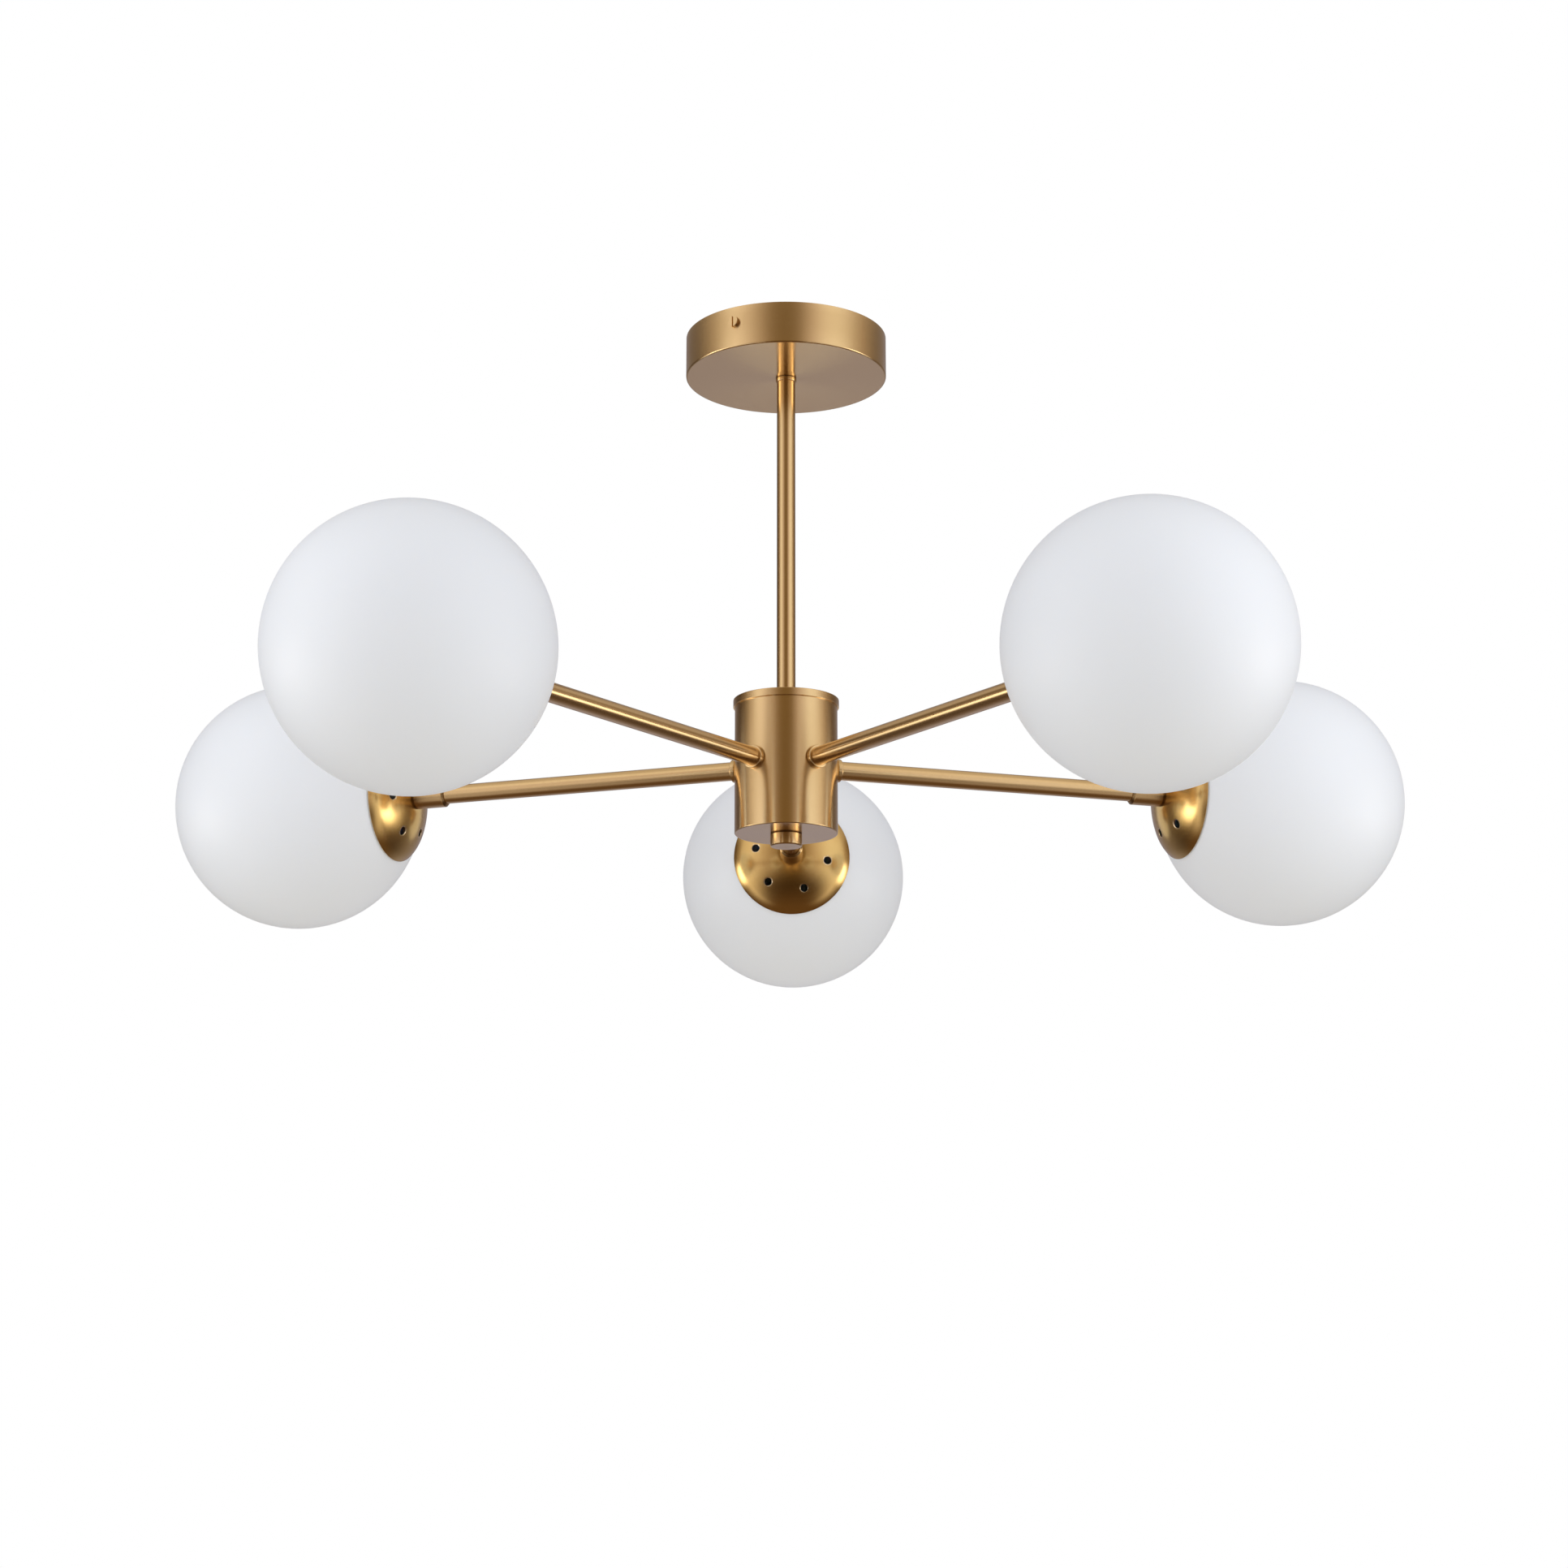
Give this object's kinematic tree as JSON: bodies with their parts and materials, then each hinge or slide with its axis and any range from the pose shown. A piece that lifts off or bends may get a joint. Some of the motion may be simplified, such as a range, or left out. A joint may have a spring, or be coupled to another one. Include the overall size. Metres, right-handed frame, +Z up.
{
  "type": "ceiling light",
  "caption": "Ceiling light with opal glass globes in vented brass cups, on level arms round a small cylindrical hub under a short stem.",
  "frame": {"origin": "centre of the ceiling face, midway between the two ceiling screws", "axes": "+Z up into the ceiling, +Y along the back arm, +X towards the right arm, arms level"},
  "size_m": [0.751, 0.7216, 0.34],
  "materials": {
    "brushed_brass": "brushed antique brass, satin",
    "satin_brass": "smooth spun brass, semi-gloss",
    "contact_brass": "bare brass",
    "plated_steel": "zinc plated",
    "opal_glass": "satin opal white glass",
    "bulb_glass": "frosted white",
    "white_plastic": "moulded heat-resistant plastic",
    "brown_insulation": "lead insulation",
    "blue_insulation": "lead insulation",
    "earth_insulation": "lead insulation"
  },
  "bodies": {
    "fixture": {"ceiling_bracket": "plated_steel", "canopy": "brushed_brass", "terminal_block": "white_plastic", "terminal_screws": "plated_steel", "earth_screw": "contact_brass", "stem": "brushed_brass", "stem_collar": "brushed_brass", "nipples": "plated_steel", "hex_nuts": "plated_steel", "washers": "plated_steel", "hub_body": "brushed_brass", "hub_cap": "brushed_brass", "hub_yoke": "plated_steel", "tie_rod": "plated_steel", "junction_block": "white_plastic", "arm_rings": "brushed_brass", "globe_rings": "contact_brass", "holder_shells": "contact_brass", "holder_contacts": "contact_brass", "live_leads": "brown_insulation", "neutral_leads": "blue_insulation", "earth_lead": "earth_insulation", "arm_back": "brushed_brass", "sleeve_back": "brushed_brass", "cup_back": "satin_brass", "lampholder_back": "white_plastic", "arm_right": "brushed_brass", "sleeve_right": "brushed_brass", "cup_right": "satin_brass", "lampholder_right": "white_plastic", "arm_front_right": "brushed_brass", "sleeve_front_right": "brushed_brass", "cup_front_right": "satin_brass", "lampholder_front_right": "white_plastic", "arm_front_left": "brushed_brass", "sleeve_front_left": "brushed_brass", "cup_front_left": "satin_brass", "lampholder_front_left": "white_plastic", "arm_left": "brushed_brass", "sleeve_left": "brushed_brass", "cup_left": "satin_brass", "lampholder_left": "white_plastic"},
    "globe_back": {"globe_back": "opal_glass"},
    "bulb_back": {"bulb_glass_back": "bulb_glass", "bulb_cap_back": "plated_steel"},
    "globe_right": {"globe_right": "opal_glass"},
    "bulb_right": {"bulb_glass_right": "bulb_glass", "bulb_cap_right": "plated_steel"},
    "globe_front_right": {"globe_front_right": "opal_glass"},
    "bulb_front_right": {"bulb_glass_front_right": "bulb_glass", "bulb_cap_front_right": "plated_steel"},
    "globe_front_left": {"globe_front_left": "opal_glass"},
    "bulb_front_left": {"bulb_glass_front_left": "bulb_glass", "bulb_cap_front_left": "plated_steel"},
    "globe_left": {"globe_left": "opal_glass"},
    "bulb_left": {"bulb_glass_left": "bulb_glass", "bulb_cap_left": "plated_steel"},
    "canopy_screw_front": {"canopy_screw_front": "brushed_brass"},
    "canopy_screw_back": {"canopy_screw_back": "brushed_brass"},
    "finial": {"finial": "brushed_brass"}
  },
  "joints": [
    {"name": "globe_back_off", "type": "slide", "parent": "fixture", "child": "globe_back", "axis": [0, 1, 0], "range_m": [0, 0.1]},
    {"name": "bulb_back_out", "type": "slide", "parent": "fixture", "child": "bulb_back", "axis": [0, 1, 0], "range_m": [0, 0.03]},
    {"name": "globe_right_off", "type": "slide", "parent": "fixture", "child": "globe_right", "axis": [0.9511, 0.309, 0], "range_m": [0, 0.1]},
    {"name": "bulb_right_out", "type": "slide", "parent": "fixture", "child": "bulb_right", "axis": [0.9511, 0.309, 0], "range_m": [0, 0.03]},
    {"name": "globe_front_right_off", "type": "slide", "parent": "fixture", "child": "globe_front_right", "axis": [0.5878, -0.809, 0], "range_m": [0, 0.1]},
    {"name": "bulb_front_right_out", "type": "slide", "parent": "fixture", "child": "bulb_front_right", "axis": [0.5878, -0.809, 0], "range_m": [0, 0.03]},
    {"name": "globe_front_left_off", "type": "slide", "parent": "fixture", "child": "globe_front_left", "axis": [-0.5878, -0.809, 0], "range_m": [0, 0.1]},
    {"name": "bulb_front_left_out", "type": "slide", "parent": "fixture", "child": "bulb_front_left", "axis": [-0.5878, -0.809, 0], "range_m": [0, 0.03]},
    {"name": "globe_left_off", "type": "slide", "parent": "fixture", "child": "globe_left", "axis": [-0.9511, 0.309, 0], "range_m": [0, 0.1]},
    {"name": "bulb_left_out", "type": "slide", "parent": "fixture", "child": "bulb_left", "axis": [-0.9511, 0.309, 0], "range_m": [0, 0.03]},
    {"name": "canopy_screw_front_turn", "type": "hinge", "parent": "fixture", "child": "canopy_screw_front", "pos_m": [-0.02954, -0.05222, -0.0095], "axis": [-0.4924, -0.8704, 0], "continuous": true},
    {"name": "canopy_screw_back_turn", "type": "hinge", "parent": "fixture", "child": "canopy_screw_back", "pos_m": [0.02954, 0.05222, -0.0095], "axis": [0.4924, 0.8704, 0], "continuous": true},
    {"name": "finial_turn", "type": "hinge", "parent": "fixture", "child": "finial", "pos_m": [0, 0, -0.305], "axis": [0, 0, -1], "continuous": true}
  ]
}
